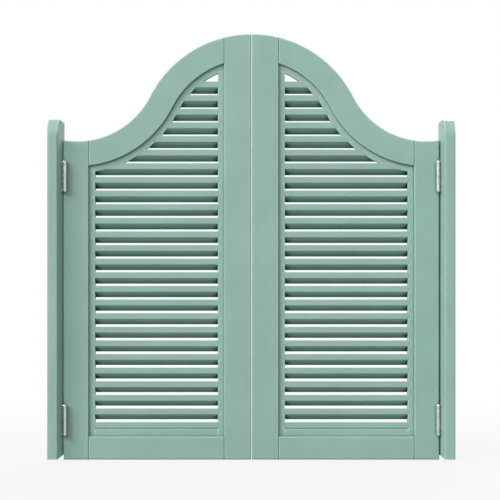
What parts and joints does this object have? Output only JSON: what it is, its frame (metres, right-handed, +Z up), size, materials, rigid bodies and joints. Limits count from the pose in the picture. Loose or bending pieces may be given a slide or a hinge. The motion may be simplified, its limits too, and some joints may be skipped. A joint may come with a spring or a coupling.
{
  "type": "louvred saloon swing door pair",
  "caption": "Pair of half-height louvred wooden swing doors with an arched ogee top, hung on jamb posts by double-action spring hinges.",
  "frame": {"origin": "on the line where the two leaves meet, at the bottom of the leaves, midway through the depth of the posts", "axes": "+Z up, -Y towards the front face, +X to the right seen from the front"},
  "size_m": [0.9194, 0.1102, 0.98],
  "materials": {
    "paint": "satin sage-green paint on solid wood",
    "slat_paint": "satin sage-green paint on solid wood",
    "beech": "bare fluted beech",
    "plated_steel": "satin nickel plate",
    "spring_steel": "oiled spring wire",
    "screw_steel": "zinc plate",
    "bush": "natural nylon"
  },
  "bodies": {
    "frame": {"left_post": "paint", "left_upper_jamb_flange": "plated_steel", "left_upper_jamb_pin": "plated_steel", "left_lower_jamb_flange": "plated_steel", "left_lower_jamb_pin": "plated_steel", "left_jamb_screws": "screw_steel", "right_post": "paint", "right_upper_jamb_flange": "plated_steel", "right_upper_jamb_pin": "plated_steel", "right_lower_jamb_flange": "plated_steel", "right_lower_jamb_pin": "plated_steel", "right_jamb_screws": "screw_steel"},
    "left_link": {"left_upper_centre_web": "plated_steel", "left_upper_springs": "spring_steel", "left_lower_centre_web": "plated_steel", "left_lower_springs": "spring_steel", "left_bushes": "bush"},
    "left_leaf": {"left_hinge_stile": "paint", "left_meeting_stile": "paint", "left_top_rail": "paint", "left_bottom_rail": "paint", "left_hinge_border": "paint", "left_meeting_border": "paint", "left_head_border": "paint", "left_sill": "paint", "left_slats": "slat_paint", "left_arch_slats": "slat_paint", "left_dowels": "beech", "left_upper_door_flange": "plated_steel", "left_upper_door_pin": "plated_steel", "left_lower_door_flange": "plated_steel", "left_lower_door_pin": "plated_steel", "left_door_screws": "screw_steel"},
    "right_link": {"right_upper_centre_web": "plated_steel", "right_upper_springs": "spring_steel", "right_lower_centre_web": "plated_steel", "right_lower_springs": "spring_steel", "right_bushes": "bush"},
    "right_leaf": {"right_hinge_stile": "paint", "right_meeting_stile": "paint", "right_top_rail": "paint", "right_bottom_rail": "paint", "right_hinge_border": "paint", "right_meeting_border": "paint", "right_head_border": "paint", "right_sill": "paint", "right_slats": "slat_paint", "right_arch_slats": "slat_paint", "right_dowels": "beech", "right_upper_door_flange": "plated_steel", "right_upper_door_pin": "plated_steel", "right_lower_door_flange": "plated_steel", "right_lower_door_pin": "plated_steel", "right_door_screws": "screw_steel"}
  },
  "joints": [
    {"name": "left_front_swing", "type": "hinge", "parent": "frame", "child": "left_link", "pos_m": [-0.42985, 0.00885, 0.372], "axis": [0, 0, -1], "range_deg": [0, 90], "stiffness_Nm_per_rad": 4, "springref_deg": -34.38},
    {"name": "left_back_swing", "type": "hinge", "parent": "left_link", "child": "left_leaf", "pos_m": [-0.42985, 0.04905, 0.372], "axis": [0, 0, -1], "range_deg": [-90, 0], "stiffness_Nm_per_rad": 4, "springref_deg": 34.38},
    {"name": "right_back_swing", "type": "hinge", "parent": "frame", "child": "right_link", "pos_m": [0.42985, 0.04905, 0.372], "axis": [0, 0, 1], "range_deg": [-90, 0], "stiffness_Nm_per_rad": 4, "springref_deg": 34.38},
    {"name": "right_front_swing", "type": "hinge", "parent": "right_link", "child": "right_leaf", "pos_m": [0.42985, 0.00885, 0.372], "axis": [0, 0, 1], "range_deg": [0, 90], "stiffness_Nm_per_rad": 4, "springref_deg": -34.38}
  ]
}
